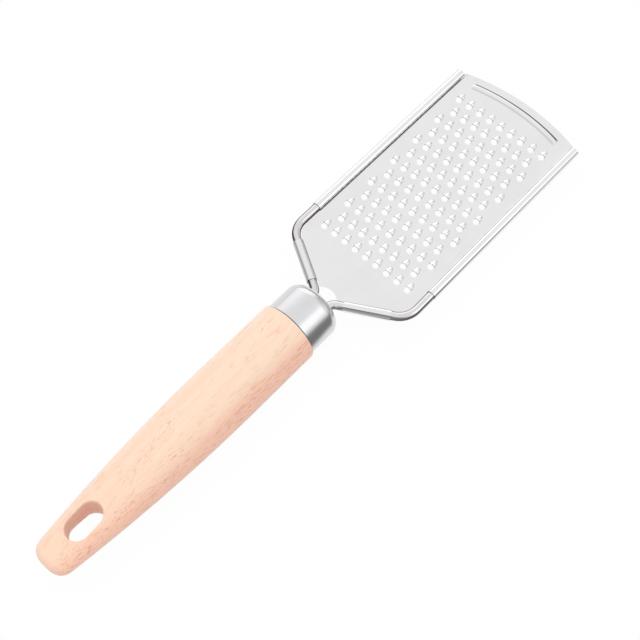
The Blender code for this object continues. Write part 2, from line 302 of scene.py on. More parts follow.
@dataclass(frozen=True, kw_only=True)
class BeechFinish:
    """Sanded, unvarnished beech: soft tone bands, short dark rays and pink flecks along the grain.

    Two numbers are where a soft change starts and ends, in metres or in a noise's own 0 to 1. In
    a share, which is how strongly a colour is laid on, they are its least and its greatest.
    """

    grip: "BeechHandle"
    name: str = "beech"
    # Colours.
    pale: Colour = (0.970, 0.755, 0.590)
    pink: Colour = (0.960, 0.680, 0.515)
    ray: Colour = (0.600, 0.250, 0.150)
    fleck: Colour = (0.930, 0.540, 0.370)
    # Painted shade of the right flank.
    side: Colour = (0.990, 0.590, 0.450)
    # Painted light of the left flank.
    painted_light: Colour = (0.985, 0.810, 0.660)
    # End grain of the hanging slot's wall, darkened with painted shade.
    wall: Colour = (0.960, 0.580, 0.480)
    # Painted shade in the gap at the ferrule.
    joint_shade: Colour = (0.180, 0.085, 0.050)
    # Noise of the grain, and where it turns into masks.
    bands: Pattern = Pattern((9.0, 140.0, 110.0), 3.0)
    fibres: Pattern = Pattern((110.0, 3800.0, 3800.0), 2.0, (3.0, 7.0, 1.0))
    rays: Pattern = Pattern((300.0, 3300.0, 3300.0), 1.0, (11.0, 2.0, 5.0))
    patches: Pattern = Pattern((45.0, 240.0, 240.0), 2.0, (1.0, 9.0, 4.0))
    flecks: Pattern = Pattern((210.0, 620.0, 620.0), 2.0, (6.0, 3.0, 8.0))
    band_step: Pair = (0.35, 0.68)
    fibre_step: Pair = (0.35, 0.70)
    ray_step: Pair = (0.58, 0.68)
    patch_step: Pair = (0.48, 0.64)
    fleck_step: Pair = (0.56, 0.70)
    # Painted shade on the right flank, painted light on the left one, and the tail.
    side_edge: Pair = (0.0045, 0.0090)
    side_slant: float = 0.35
    side_shift: float = 0.0035
    side_shift_length: float = 0.0500
    painted_shade_share: Pair = (0.55, 1.15)
    tail_share: float = 0.55
    painted_light_share: float = 0.60
    # Fibre, flecks and rays.
    fibre_share: Pair = (0.22, 0.67)
    fleck_share: float = 0.50
    ray_share: Pair = (0.45, 0.70)
    more_rays: float = 0.26
    # The hanging slot's wall with painted shade, the tail's end, and painted shade at the ferrule's joint.
    wall_side: Pair = (0.0002, 0.0006)
    wall_end: Pair = (0.0002, 0.0008)
    wall_height: Pair = (0.0042, 0.0054)
    wall_shade_share: float = 0.45
    wall_fibre_share: float = 0.55
    end_length: float = 0.0030
    end_share: float = 0.35
    joint_depth: float = 0.0005
    # Gloss and relief.
    roughness: float = 0.52
    ray_roughness: float = 0.12
    fibre_roughness: float = 0.06
    specular: float = 0.40
    sheen: float = 0.30
    relief_depth: float = 0.00005
    relief_share: float = 0.5

    def build(self) -> bpy.types.Material:
        """Make the material.

        Returns:
            The beech material.
        """
        material, graph = new_material(self.name)
        place = graph.place()
        patterns = (self.bands, self.fibres, self.rays, self.patches, self.flecks)
        bands, fibre, rays, patches, flecks = (graph.noise(place, pattern) for pattern in patterns)
        x, y, z = graph.split(place)
        height = z - DATUM.level
        near_tail = 1.0 - x.ramp(DATUM.tail, DATUM.tail + self.side_shift_length)
        flank = (near_tail * self.side_shift - y - height * self.side_slant).ramp(*self.side_edge)
        ray_mask = rays.ramp(*self.ray_step) * (patches + flank * self.more_rays).ramp(*self.patch_step)
        colour = graph.mix(bands.ramp(*self.band_step), self.pale, self.pink)
        colour = graph.mix(near_tail * self.tail_share, colour, self.pink)
        # Painted shade: the right flank, away from the lamp, darker and pinker.
        colour = graph.mix(flank * bands.between(*self.painted_shade_share), colour, self.side)
        # Painted light: the left flank, towards the lamp, paler.
        colour = graph.mix(y.ramp(*self.side_edge) * self.painted_light_share, colour, self.painted_light)
        fibre_mask = fibre.ramp(*self.fibre_step)
        colour = graph.mix(fibre_mask * flank.between(*self.fibre_share), colour, self.fleck)
        colour = graph.mix(flecks.ramp(*self.fleck_step) * self.fleck_share, colour, self.fleck)
        # End grain with painted shade in the hanging slot and at the tail's end.
        colour = graph.mix(self.cut_mask(x, y, height, fibre), colour, self.wall)
        colour = graph.mix(ray_mask * flank.between(*self.ray_share), colour, self.ray)
        # Painted shade in the gap between the wood and the ferrule.
        colour = graph.mix(x.ramp(DATUM.shoulder - self.joint_depth, DATUM.shoulder), colour, self.joint_shade)
        relief = fibre * self.relief_share + (1.0 - ray_mask) * self.relief_share
        shader = graph.node("ShaderNodeBsdfPrincipled", None, {
            "Base Color": colour,
            "Roughness": self.roughness + ray_mask * self.ray_roughness - fibre * self.fibre_roughness,
            "Specular IOR Level": self.specular,
            "Sheen Weight": self.sheen,
            "Normal": graph.bump(relief, self.relief_depth, self.relief_share),
        })
        graph.output("ShaderNodeOutputMaterial", shader)
        return material

    def cut_mask(self, x: Field, y: Field, height: Field, fibre: Field) -> Field:
        """End grain, darkened with painted shade: the hanging slot's wall, and the tail's end a little.

        Args:
            x: Place along the tool.
            y: Place across it.
            height: Height over the tool's middle level.
            fibre: The wood's fine fibre, which shows in the slot's wall.

        Returns:
            A number from 0 to 1.
        """
        half_width, half_length = self.grip.slot_width / 2, self.grip.slot_length / 2
        along = x - (DATUM.tail + self.grip.slot_from_tail)
        inside = 1.0 - abs(y).ramp(*(half_width + margin for margin in self.wall_side))
        inside = inside * (1.0 - abs(along).ramp(*(half_length + margin for margin in self.wall_end)))
        inside = inside * (1.0 - abs(height).ramp(*self.wall_height))
        # Painted shade, deeper towards the ferrule's end of the slot.
        depth = along.ramp(-half_length, half_length)
        end = 1.0 - x.ramp(DATUM.tail, DATUM.tail + self.end_length)
        wall = inside * (depth * self.wall_shade_share + fibre * self.wall_fibre_share)
        return wall + end * self.end_share


@dataclass(frozen=True, kw_only=True)
class SteelFinish:
    """Stainless steel, uneven in gloss and tone, with fine marks; as it stands, the ferrule's satin."""

    name: str = "ferrule_steel"
    colour: Colour = (0.735, 0.735, 0.745)
    worn: Colour = (0.665, 0.665, 0.680)
    edge_tint: Colour = WHITE
    roughness: float = 0.26
    spread: float = 0.06
    marks: Pattern = Pattern((9000.0, 30.0, 30.0), 3.0)
    clouds: Pattern = Pattern((70.0, 90.0, 90.0), 3.0, (5.0, 1.0, 2.0))
    specks: Pattern = Pattern((900.0, 900.0, 900.0), 1.0, (2.0, 8.0, 3.0))
    mark_step: Pair = (0.30, 0.70)
    cloud_step: Pair = (0.35, 0.70)
    speck_step: Pair = (0.66, 0.76)
    mark_share: float = 0.3
    cloud_share: float = 0.5
    speck_share: float = 0.2
    mark_depth: float = 0.000002

    def build(self) -> bpy.types.Material:
        """Make the material.

        Returns:
            The steel material.
        """
        material, graph = new_material(self.name)
        place = graph.place()
        patterns = (self.marks, self.clouds, self.specks)
        marks, clouds, specks = (graph.noise(place, pattern) for pattern in patterns)
        tone = clouds.ramp(*self.cloud_step) * self.cloud_share
        tone = tone + marks.ramp(*self.mark_step) * self.mark_share
        tone = tone + specks.ramp(*self.speck_step) * self.speck_share
        shader = graph.node("ShaderNodeBsdfPrincipled", None, {
            "Base Color": self.shaped(graph, place, graph.mix(tone, self.colour, self.worn)),
            "Metallic": 1.0,
            "Roughness": self.roughness + (marks - 0.5) * self.spread + (clouds - 0.5) * self.spread,
            "Specular Tint": (*self.edge_tint, 1.0),
            "Normal": graph.bump(marks, self.mark_depth),
        })
        graph.output("ShaderNodeOutputMaterial", shader)
        return material

    def shaped(self, graph: Graph, place: Socket, colour: Socket) -> Socket:
        """Painted shade and light that follow the piece's shape, over its colour; here none."""
        return colour


@dataclass(frozen=True, kw_only=True)
class WireFinish(SteelFinish):
    """Polished rod with a painted dark reflection along both flanks and a painted glint in the right
    side's.

    The stripe's limits and the glint are shares of the rod's radius over its middle. On flanks that
    face the tool's right the stripe goes from low up to near, or near_right on the right half of
    the rod, and on flanks that face its left from low_away up to far.
    """

    rod: "WireFrame"
    name: str = "wire_steel"
    colour: Colour = (0.760, 0.740, 0.742)
    worn: Colour = (0.640, 0.615, 0.620)
    edge_tint: Colour = (0.30, 0.28, 0.29)
    roughness: float = 0.12
    marks: Pattern = Pattern((60.0, 2600.0, 2600.0), 3.0)
    # Painted dark of the flanks' reflection stripe.
    painted_dark: Colour = (0.050, 0.042, 0.045)
    low: float = -0.36
    low_away: float = 0.28
    near: float = 0.54
    near_right: float = 0.66
    far: float = 0.86
    fade: float = 0.14
    painted_glint: float = 0.33
    painted_glint_share: float = 0.5
    dark_share: Pair = (0.60, 0.96)

    def shaped(self, graph: Graph, place: Socket, colour: Socket) -> Socket:
        """Paint dark reflections on the flanks, with a glint.

        Args:
            graph: The graph that the nodes go into.
            place: The point that is shaded.
            colour: The colour without the stripe.

        Returns:
            The colour with it.
        """
        _, y, z = graph.split(place)
        height = (z - DATUM.level) * (1.0 / self.rod.radius)
        left = y.ramp(-self.rod.leg_spacing / 2, self.rod.leg_spacing / 2)
        outer = self.rod.outer_side(graph, place)
        away = left * outer + (1.0 - left) * (1.0 - outer)
        top = away * self.far + (1.0 - away) * left.between(self.near_right, self.near)
        # Painted dark reflection along both flanks, with a painted glint in it on the right.
        stripe = (top - height).ramp(0.0, self.fade)
        stripe = stripe * (height - away.between(self.low, self.low_away)).ramp(0.0, self.fade)
        painted_glint = (height - self.painted_glint).band(self.fade / 3, self.fade / 2) * (1.0 - left) * (1.0 - away)
        share = stripe * left.between(*self.dark_share) * (1.0 - painted_glint * self.painted_glint_share)
        return graph.mix(share, colour, self.painted_dark)


@dataclass(frozen=True, kw_only=True)
class SheetFinish(SteelFinish):
    """Bright rolled sheet with painted highlights on its teeth and painted shade and reflections.

    A line is given by its half width and its fade, and heights are over the flat. A line along a
    roll lies at a share of the roll's radius.
    """

    rod: "WireFrame"
    plate: "GratingPlate"
    name: str = "sheet_steel"
    colour: Colour = (0.817, 0.817, 0.819)
    worn: Colour = (0.767, 0.767, 0.772)
    roughness: float = 0.13
    spread: float = 0.05
    marks: Pattern = Pattern((26.0, 3200.0, 900.0), 3.0)
    mark_depth: float = 0.0000015
    # Painted highlight on the teeth, and painted shade at their lips.
    painted_highlight: Colour = (0.930, 0.930, 0.935)
    highlight_from: Pair = (0.00035, 0.00060)
    # Painted dark of the lips' shade and of the bead's and rolls' lines.
    painted_dark: Colour = (0.120, 0.120, 0.125)
    lip: Pair = (0.00010, 0.00012)
    lip_height: Pair = (0.00018, 0.00030)
    lip_share: float = 0.62
    # Painted dark reflections at the edges of the bead, at shares of its half width.
    bead_line: Pair = (0.00032, 0.00018)
    outer_bead_line: float = 0.62
    outer_share: float = 0.98
    outer_share_lost: float = 0.25
    inner_bead_line: float = 0.90
    inner_share: float = 0.22
    # Painted shade in the left roll's crease and painted dark reflections along the rolls.
    crease: Pair = (0.00014, 0.00014)
    crease_shade_share: float = 0.34
    shoulder: Pair = (0.00006, 0.00010)
    shoulder_height: float = 0.884
    shoulder_reflection_share: float = 0.50
    splay: Pair = (0.00008, 0.00010)
    splay_height: float = 0.826
    splay_reflection_share: float = 0.55
    # Painted dark reflection on the left splayed roll's flank.
    flank_reflection_dark: Colour = (0.330, 0.330, 0.340)
    flank_reflection_height: float = 0.82
    flank_reflection_share: float = 0.62
    # Soft edges of these masks.
    flat: Pair = (0.0002, 0.0005)
    fade: float = 0.0003
    margin: float = 0.0030
    soft: float = 0.0010

    def shaped(self, graph: Graph, place: Socket, colour: Socket) -> Socket:
        """Paint highlights on the teeth, shade at their lips and a crease, dark reflections on bead and
        rolls.

        Args:
            graph: The graph that the nodes go into.
            place: The point that is shaded.
            colour: The colour of the flat sheet.

        Returns:
            The colour of the formed sheet.
        """
        x, y, z = graph.split(place)
        height = z - DATUM.level
        left = y.ramp(-self.margin, self.margin)
        past_shoulders = x.ramp(self.rod.shoulder_x, self.rod.shoulder_x + self.margin)
        crease = self.rod.side_y - self.rod.roll_radius
        field = past_shoulders * (1.0 - abs(y).ramp(crease - 2 * self.soft, crease - self.soft))
        teeth_end = DATUM.far_edge - self.plate.first_row_setback + self.plate.row_pitch / 2
        toothed = field * (1.0 - x.ramp(teeth_end, teeth_end + self.soft))
        flank = (self.rod.roll_radius * self.flank_reflection_height - height).ramp(0.0, self.fade)
        flank = flank * abs(height).ramp(*self.flat) * left * (1.0 - past_shoulders)
        # Painted dark reflection along the right splayed roll.
        splay = self.roll_line(height, self.splay_height, self.splay) * self.splay_reflection_share
        lines = self.roll_lines(x, y, height, left) + splay * (1.0 - past_shoulders) * (1.0 - left)
        # Painted highlight on the raised teeth.
        colour = graph.mix(height.ramp(*self.highlight_from) * toothed, colour, self.painted_highlight)
        # Painted shade along the tongues' free edges.
        colour = graph.mix(self.lip_shade(x, height) * toothed, colour, self.painted_dark)
        # Painted dark reflections at the bead's edges.
        colour = graph.mix(self.painted_bead_lines(graph, place, y) * field, colour, self.painted_dark)
        # Painted shade in the left roll's crease and painted dark reflections along the rolls.
        colour = graph.mix(lines, colour, self.painted_dark)
        # Painted dark reflection on the left splayed roll's flank.
        return graph.mix(flank * self.flank_reflection_share, colour, self.flank_reflection_dark)

    def roll_line(self, height: Field, share: float, line: Pair) -> Field:
        """Painted dark reflection in a thin line along a roll, on both shoulders, at a share of its radius.
        """
        return (height - self.rod.roll_radius * share).band(*line)

    def roll_lines(self, x: Field, y: Field, height: Field, left: Field) -> Field:
        """Painted shade in the left straight roll's crease, painted reflection on the right one's inner
        shoulder.

        Args:
            x: Place along the tool.
            y: Place across it.
            height: Height over the flat.
            left: 1 on the tool's left and 0 on its right.

        Returns:
            A number from 0 to 1.
        """
        start = self.rod.shoulder_x + self.plate.side_roll_start
        crease = self.rod.side_y - self.rod.roll_radius - self.crease[0]
        low = (y - crease).band(*self.crease) * (1.0 - abs(height).ramp(*self.flat)) * left
        high = self.roll_line(height, self.shoulder_height, self.shoulder)
        high = high * (y + self.rod.side_y).ramp(0.0, self.fade) * (1.0 - left)
        return (low * self.crease_shade_share + high * self.shoulder_reflection_share) * x.ramp(start, start + self.soft / 2)

    def lip_shade(self, x: Field, height: Field) -> Field:
        """Painted shade along the free edges of the raised tongues, which repeat with the rows.

        Args:
            x: Place along the tool.
            height: Height over the flat.

        Returns:
            A number from 0 to 1.
        """
        pitch = self.plate.row_pitch
        mouth = DATUM.far_edge - self.plate.first_row_setback
        along = ((x - mouth) * (1.0 / pitch) + 0.5).repeat() - 0.5
        lip = along.band(self.lip[0] / pitch, self.lip[1] / pitch)
        return lip * height.ramp(*self.lip_height) * self.lip_share

    def painted_bead_lines(self, graph: Graph, place: Socket, y: Field) -> Field:
        """Painted dark reflections at the bead's edges, the outer one darker and a little fainter to the
        left.

        Args:
            graph: The graph that the nodes go into.
            place: The point that is shaded.
            y: Place across the tool.

        Returns:
            A number from 0 to 1.
        """
        radius = self.plate.far_edge_radius - self.plate.bead_setback
        foot = self.plate.bead_width / 2
        out = graph.distance(place, self.plate.far_centre()) - radius
        half = self.rod.side_y - self.rod.roll_radius - self.plate.bead_side_margin
        ends = 1.0 - abs(y).ramp(half - foot, half)
        outer = (out - foot * self.outer_bead_line).band(*self.bead_line)
        outer = outer * (self.outer_share - y.ramp(0.0, half) * self.outer_share_lost)
        inner = (out + foot * self.inner_bead_line).band(*self.bead_line) * self.inner_share
        return (outer + inner) * ends


class Shape:
    """One mesh object and the modelling operators that shape it by hand."""

    def __init__(self, name: str) -> None:
        """Take the primitive that was just added as the shape's start.

        Args:
            name: The object's name.
        """
        self.item = bpy.context.active_object
        self.item.name = name
        self.item.data.name = name
        bpy.ops.object.transform_apply(location=True, rotation=True, scale=True)

    @classmethod
    def vertex(cls, name: str, point: Vector) -> "Shape":
        """Start from a single vertex, ready to be drawn out in edit mode.

        Args:
            name: The object's name.
            point: Where the vertex is.

        Returns:
            The shape, in edit mode with its vertex selected.
        """
        bpy.ops.object.select_all(action="DESELECT")
        bpy.ops.mesh.primitive_plane_add(size=SEED_SIZE, location=point)
        shape = cls(name)
        shape.edit()
        bpy.ops.mesh.merge(type="CENTER")
        return shape

    @classmethod
    def ring(cls, name: str, centre: Vector, radius: float, sides: int, facing: Triple) -> "Shape":
        """Start from a circle of edges.

        Args:
            name: The object's name.
            centre: The circle's centre.
            radius: Its radius.
            sides: How many vertices it has.
            facing: Its rotation from level, as X, Y and Z angles.

        Returns:
            The shape, in edit mode with the circle selected.
        """
        bpy.ops.object.select_all(action="DESELECT")
        bpy.ops.mesh.primitive_circle_add(vertices=sides, radius=radius, fill_type="NOTHING",
                                          location=centre, rotation=facing)
        shape = cls(name)
        shape.edit()
        bpy.ops.mesh.select_all(action="SELECT")
        return shape

    @classmethod
    def slot_bar(cls, name: str, centre: Vector, radius: float, spread: Vector, run: Vector) -> "Shape":
        """Make a bar with two rounded sides, to cut a slot with.

        Args:
            name: The object's name.
            centre: Middle of the end that it starts from.
            radius: Radius of its rounded sides.
            spread: From the middle to the centre of one rounded side.
            run: From one end to the other, level or upright.

        Returns:
            The bar, in object mode.
        """
        bar = cls.ring(name, centre, radius, SLOT_SIDES, (0.0, UP.angle(run), 0.0))
        for side in (spread, -spread):
            bar.pick(lambda place: (place - centre).dot(side.normalized()) > SAME_POINT)
            bpy.ops.transform.translate(value=side)
        bpy.ops.mesh.select_all(action="SELECT")
        bpy.ops.mesh.edge_face_add()
        bar.pull(run)
        bar.face_outward()
        bar.done()
        return bar

    def only(self) -> None:
        """Make this object the only selected one, and the active one."""
        if bpy.context.mode != "OBJECT":
            bpy.ops.object.mode_set(mode="OBJECT")
        bpy.ops.object.select_all(action="DESELECT")
        self.item.select_set(True)
        bpy.context.view_layer.objects.active = self.item

    def edit(self) -> None:
        """Go into edit mode on this object, with vertices selectable."""
        self.only()
        bpy.ops.object.mode_set(mode="EDIT")
        bpy.ops.mesh.select_mode(type="VERT")

    def done(self) -> None:
        """Leave edit mode."""
        bpy.ops.object.mode_set(mode="OBJECT")

    def pick(self, test: Callable[[Vector], bool]) -> None:
        """Select the vertices whose place passes a test, and the edges and faces between them.

        Args:
            test: Whether a place is wanted.
        """
        bpy.ops.mesh.select_all(action="DESELECT")
        shape = bmesh.from_edit_mesh(self.item.data)
        for vert in shape.verts:
            vert.select = test(vert.co)
        shape.select_flush_mode()
        bmesh.update_edit_mesh(self.item.data)

    def pick_near(self, *points: Vector) -> None:
        """Select the vertices that lie on these points."""
        self.pick(lambda place: any((place - point).length < SAME_POINT for point in points))

    def pull(self, step: Vector) -> None:
        """Extrude what is selected by a step."""
        bpy.ops.mesh.extrude_region_move(TRANSFORM_OT_translate={"value": step})

    def pull_to(self, start: Vector, end: Vector) -> None:
        """Extrude a selected vertex from one point to another."""
        bpy.ops.mesh.extrude_vertices_move(TRANSFORM_OT_translate={"value": end - start})

    def turn(self, centre: Vector, axis: Vector, angle: float, steps: int) -> None:
        """Spin what is selected round an axis, by the right-hand rule."""
        bpy.ops.mesh.spin(steps=steps, angle=-angle, center=centre, axis=axis)

    def resize(self, factors: Triple, centre: Vector) -> None:
        """Scale what is selected about a point."""
        bpy.ops.transform.resize(value=factors, center_override=centre)

    def merge(self) -> None:
        """Join all vertices that lie on one point."""
        bpy.ops.mesh.select_all(action="SELECT")
        bpy.ops.mesh.remove_doubles(threshold=SAME_POINT)

    def face_outward(self) -> None:
        """Turn every face of the shape outward."""
        bpy.ops.mesh.select_all(action="SELECT")
        bpy.ops.mesh.normals_make_consistent(inside=False)

    def group(self, name: str) -> None:
        """Put the selected vertices in a vertex group.

        Args:
            name: The group's name.
        """
        groups = self.item.vertex_groups
        groups.active_index = (groups.get(name) or groups.new(name=name)).index
        bpy.ops.object.vertex_group_assign()

    def pick_group(self, name: str) -> None:
        """Select only the vertices of a vertex group.

        Args:
            name: The group's name.
        """
        bpy.ops.mesh.select_all(action="DESELECT")
        self.item.vertex_groups.active_index = self.item.vertex_groups[name].index
        bpy.ops.object.vertex_group_select()

    def modify(self, kind: str, **settings: object) -> None:
        """Add a modifier and apply it.

        Args:
            kind: The modifier's type.
            settings: Its settings, by name.
        """
        self.only()
        modifier = self.item.modifiers.new(kind.lower(), kind)
        for name, value in settings.items():
            setattr(modifier, name, value)
        bpy.ops.object.modifier_apply(modifier=modifier.name)

    def _combine(self, operation: str, other: "Shape") -> None:
        """Apply a boolean with another shape and throw that shape away."""
        self.modify("BOOLEAN", operation=operation, solver="EXACT", object=other.item)
        other.discard()

    def unite(self, other: "Shape") -> None:
        """Make another shape part of this one."""
        self._combine("UNION", other)

    def cut(self, cutter: "Shape") -> None:
        """Take another shape out of this one."""
        self._combine("DIFFERENCE", cutter)

    def discard(self) -> None:
        """Throw the shape away."""
        bpy.data.objects.remove(self.item, do_unlink=True)

    def copy_to(self, step: Vector) -> "Shape":
        """Copy this shape with a mesh of its own.

        Args:
            step: How far the copy is moved.

        Returns:
            The copy.
        """
        self.only()
        bpy.ops.object.duplicate(linked=False)
        bpy.ops.transform.translate(value=step)
        return Shape(self.item.name)

    def join(self, others: List["Shape"]) -> None:
        """Join other shapes into this one.

        Args:
            others: The shapes, which stop being objects of their own.
        """
        self.only()
        for other in others:
            other.item.select_set(True)
        bpy.ops.object.join()

    def shade(self, degrees: float) -> None:
        """Shade the shape smooth, with edges sharper than an angle kept crisp."""
        self.only()
        bpy.ops.object.shade_smooth_by_angle(angle=math.radians(degrees))

    def finish(self, material: bpy.types.Material, slot: Slot, node: str) -> bpy.types.Object:
        """Dress the finished piece and let it stand for its CAD node.

        Args:
            material: The finish.
            slot: The record's material slot; not used.
            node: The CAD node that the piece stands for.

        Returns:
            The finished piece.
        """
        self.item.vertex_groups.clear()
        self.item.data.materials.clear()
        self.item.data.materials.append(material)
        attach(self.item, BODY)
        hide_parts(node)
        return self.item


@dataclass(frozen=True)
class Datum:
    """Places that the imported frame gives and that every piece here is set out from."""

    level: float
    tail: float
    shoulder: float
    ferrule_front: float
    ferrule_radius: float
    handle_radius: float
    far_edge: float
    half_width: float
    roll_end: float

    @classmethod
    def read(cls) -> "Datum":
        """Read the places from the CAD nodes' boxes.

        Returns:
            The places.
        """
        handle_low, handle_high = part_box("handle")
        ferrule_low, ferrule_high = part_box("ferrule")
        wire_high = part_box("wire_frame")[1]
        plate_low, plate_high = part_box("grating_plate")
        return cls(
            level=(handle_low.z + handle_high.z) / 2,
            tail=handle_low.x,
            shoulder=ferrule_low.x - SEAT_GAP,
            ferrule_front=ferrule_high.x,
            ferrule_radius=(ferrule_high.z - ferrule_low.z) / 2,
            handle_radius=(handle_high.z - handle_low.z) / 2,
            far_edge=plate_high.x,
            half_width=(plate_high.y - plate_low.y) / 2,
            roll_end=wire_high.x,
        )


DATUM = Datum.read()


@dataclass
class WireFrame:
    """One bent rod: hairpin in the handle, two legs, splayed shoulders and two straight sides."""

    diameter: float = 0.0033
    leg_spacing: float = 0.0074
    tang_depth: float = 0.0300
    neck_straight: float = 0.0008
    neck_bend: float = 0.0035
    splay: float = math.radians(60.0)
    shoulder_bend: float = 0.0085
    sides: int = 28
    steps: int = 14
    end_rounding: float = 0.0004
    sheet: float = 0.00025
    clearance: float = 0.00015
    smooth_below: float = 40.0

    @property
    def radius(self) -> float:
        """Radius of the rod."""
        return self.diameter / 2

    @property
    def roll_radius(self) -> float:
        """Radius of the middle of the sheet that is rolled round the rod."""
        return self.radius + self.clearance + self.sheet / 2

    @property
    def side_y(self) -> float:
        """Distance of the rod's straight sides from the middle of the tool."""
        return DATUM.half_width - self.roll_radius - self.sheet / 2

    @property
    def neck_x(self) -> float:
        """Corner where a leg turns into the splay."""
        return DATUM.ferrule_front + self.neck_straight + self.neck_bend * math.tan(self.splay / 2)

    @property
    def shoulder_x(self) -> float:
        """Corner where the splay turns into the straight side."""
        return self.neck_x + (self.side_y - self.leg_spacing / 2) / math.tan(self.splay)

    def splay_direction(self) -> Vector:
        """Direction of the splay on the +Y side."""
        return Vector((math.cos(self.splay), math.sin(self.splay), 0.0))

    def outer_side(self, graph: Graph, place: Socket) -> Field:
        """Whether a point lies on the outer side of the rod's middle line.

        Args:
            graph: The graph that the nodes go into.
            place: The point that is shaded.

        Returns:
            A number from 0 inside to 1 outside.
        """
        x, y, _ = graph.split(place)
        across, along = abs(y) - self.side_y, x - self.shoulder_x
        half = self.splay / 2
        inset = self.shoulder_bend * (1.0 / math.cos(half) - 1.0)
        inside = 1.0
        for turn, shift in ((0.0, 0.0), (half, inset), (self.splay, 0.0)):
            distance = across * math.cos(turn) - along * math.sin(turn) + shift
            inside = inside * (1.0 - distance.ramp(-self.radius / 3, self.radius / 3))
        return 1.0 - inside

    def bend_ends(self, corner: Vector, radius: float, before: Vector,
                  after: Vector) -> Tuple[Vector, Vector]:
        """Start and centre of a bend.

        Args:
            corner: Where the two straight lines meet.
            radius: Radius of the bend.
            before: Direction up to the corner.
            after: Direction past it.

        Returns:
            The point where the bend starts, and its centre.
        """
        turn = before.angle(after)
        start = corner - before * (radius * math.tan(turn / 2))
        centre = corner + (after - before).normalized() * (radius / math.cos(turn / 2))
        return start, centre

    def build(self, finish: bpy.types.Material) -> bpy.types.Object:
        """Bend the rod.

        Args:
            finish: The rod's material.

        Returns:
            The finished piece.
        """
        level = UP * DATUM.level
        leg = ACROSS * (self.leg_spacing / 2)
        splay = self.splay_direction()
        bottom = DATUM.shoulder - self.tang_depth + self.radius + self.leg_spacing / 2
        here = ALONG * bottom + leg + level
        rod = Shape.ring("bent_wire", here, self.radius, self.sides, (0.0, math.pi / 2, 0.0))
        neck = ALONG * self.neck_x + leg + level
        start, centre = self.bend_ends(neck, self.neck_bend, ALONG, splay)
        rod.pull(start - here)
        rod.turn(centre, UP, self.splay, self.steps)
        here = neck + splay * (start - neck).length
        shoulder = ALONG * self.shoulder_x + ACROSS * self.side_y + level
        start, centre = self.bend_ends(shoulder, self.shoulder_bend, splay, ALONG)
        rod.pull(start - here)
        rod.turn(centre, -UP, self.splay, self.steps)
        here = shoulder + ALONG * (start - shoulder).length
        end = DATUM.roll_end - self.end_rounding
        rod.pull(ALONG * (end - here.x))
        rod.pull(ALONG * self.end_rounding)
        share = 1.0 - self.end_rounding / self.radius
        rod.resize((share, share, share), ALONG * DATUM.roll_end + ACROSS * self.side_y + level)
        bpy.ops.mesh.edge_face_add()
        rod.pick(lambda place: abs(place.x - bottom) < SAME_POINT)
        rod.turn(ALONG * bottom + level, UP, math.pi / 2, self.steps)
        rod.merge()
        rod.done()
        rod.modify("MIRROR", use_axis=(False, True, False), merge_threshold=SAME_POINT)
        rod.edit()
        rod.face_outward()
        rod.done()
        rod.shade(self.smooth_below)
        return rod.finish(finish, Slot.WIRE, "wire_frame")


@dataclass
class Ferrule:
    """A drawn steel cup with a rounded front edge, slotted for the two wire legs."""

    rounding: float = 0.0045
    wall: float = 0.0006
    corner_steps: int = 16
    sides: int = 128
    overrun: float = 0.0005
    smooth_below: float = 35.0

    def build(self, rod: WireFrame, finish: bpy.types.Material) -> bpy.types.Object:
        """Draw the cup and cut its slot.

        Args:
            rod: The wire whose legs pass through the slot.
            finish: The cup's material.

        Returns:
            The finished piece.
        """
        level = UP * DATUM.level
        rim = ALONG * (DATUM.shoulder + SEAT_GAP) + UP * (DATUM.level + DATUM.ferrule_radius)
        corner = ALONG * (DATUM.ferrule_front - self.rounding) + UP * rim.z
        front = ALONG * DATUM.ferrule_front + UP * (rim.z - self.rounding)
        cup = Shape.vertex("drawn_ferrule", rim)
        cup.pull_to(rim, corner)
        cup.turn(corner - UP * self.rounding, ACROSS, math.pi / 2, self.corner_steps)
        cup.pull_to(front, ALONG * DATUM.ferrule_front + level)
        cup.merge()
        bpy.ops.mesh.select_all(action="SELECT")
        cup.turn(level, ALONG, 2 * math.pi, self.sides)
        cup.merge()
        cup.face_outward()
        cup.done()
        cup.modify("SOLIDIFY", thickness=self.wall, offset=-1.0, use_even_offset=True)
        start = ALONG * (DATUM.ferrule_front - self.rounding) + level
        cup.cut(Shape.slot_bar("leg_slot", start, rod.radius + SEAT_GAP, ACROSS * rod.leg_spacing / 2,
                               ALONG * (self.rounding + self.overrun)))
        cup.shade(self.smooth_below)
        return cup.finish(finish, Slot.FERRULE, "ferrule")


